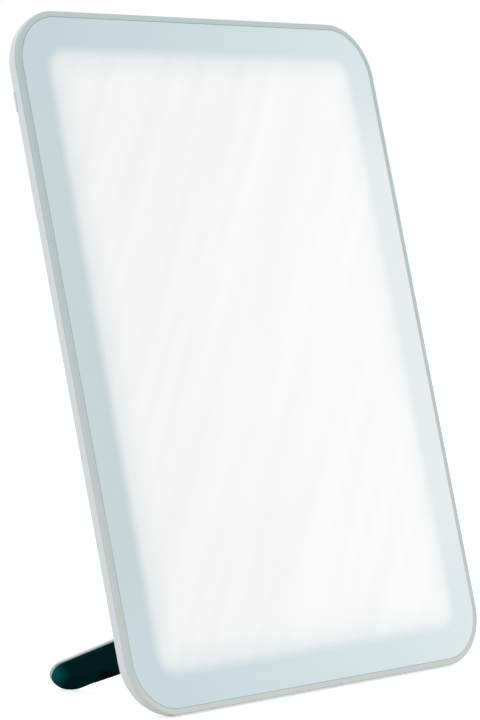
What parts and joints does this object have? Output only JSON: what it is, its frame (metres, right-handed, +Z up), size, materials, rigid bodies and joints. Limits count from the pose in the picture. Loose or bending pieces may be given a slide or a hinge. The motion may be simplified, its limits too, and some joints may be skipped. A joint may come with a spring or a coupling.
{
  "type": "light therapy lamp",
  "caption": "Slim upright light therapy panel with an opal face and a soft-edged rear housing, leaning back on a plug-in leg, with a side power button and a low-voltage inlet.",
  "frame": {"origin": "centre of the footprint of the whole lamp, on the surface it stands on", "axes": "+Z up, -Y is the side the lit face points to, +X to the right across the face seen from the front"},
  "size_m": [0.24, 0.0982, 0.3158],
  "materials": {
    "frame_plastic": "satin",
    "opal_acrylic": "matte opal",
    "white_plastic": "matte",
    "clear_acrylic": "polished",
    "clear_film": "gloss",
    "soft_rubber": "matte",
    "aluminium": "mill",
    "steel": "zinc plated",
    "board_white": "solder mask",
    "led_package": "gloss",
    "board_green": "solder mask",
    "coil_black": "matte",
    "capacitor": "gloss",
    "connector": "matte",
    "inlet_black": "satin",
    "contact_brass": "plated",
    "lead": "satin",
    "button_plastic": "satin",
    "socket_plastic": "satin",
    "leg_plastic": "satin",
    "leg_rubber": "satin",
    "housing_plastic": "fine texture",
    "foot_rubber": "matte"
  },
  "bodies": {
    "panel": {"front_frame": "frame_plastic", "front_diffuser": "opal_acrylic", "mid_frame": "white_plastic", "prism_film": "clear_acrylic", "light_guide": "clear_acrylic", "edge_reflector": "white_plastic", "reflector_sheet": "white_plastic", "light_guide_blocks": "soft_rubber", "chassis": "aluminium", "chassis_screws": "steel", "led_heat_bar": "aluminium", "led_board": "board_white", "leds": "led_package", "board_insulator": "clear_film", "driver_board": "board_green", "driver_coils": "coil_black", "driver_chips": "coil_black", "driver_capacitors": "capacitor", "driver_connectors": "connector", "board_screws": "steel", "dc_jack": "inlet_black", "dc_jack_pin": "contact_brass", "jack_lead": "lead", "led_lead": "lead", "switch_lead": "lead", "switch_board": "board_green", "tact_switch": "inlet_black", "leg_socket": "socket_plastic", "leg_spring": "steel", "rear_housing": "housing_plastic", "foot_left": "foot_rubber", "foot_right": "foot_rubber"},
    "leg": {"leg_shell": "leg_plastic", "leg_pad": "leg_rubber"},
    "button": {"power_button": "button_plastic", "switch_plunger": "connector"}
  },
  "joints": [
    {"name": "leg_pull", "type": "slide", "parent": "panel", "child": "leg", "axis": [0, 0.9681, -0.2504], "range_m": [0, 0.02]},
    {"name": "button_press", "type": "slide", "parent": "panel", "child": "button", "axis": [1, 0, 0], "range_m": [0, 0.0008], "stiffness_N_per_m": 900}
  ]
}
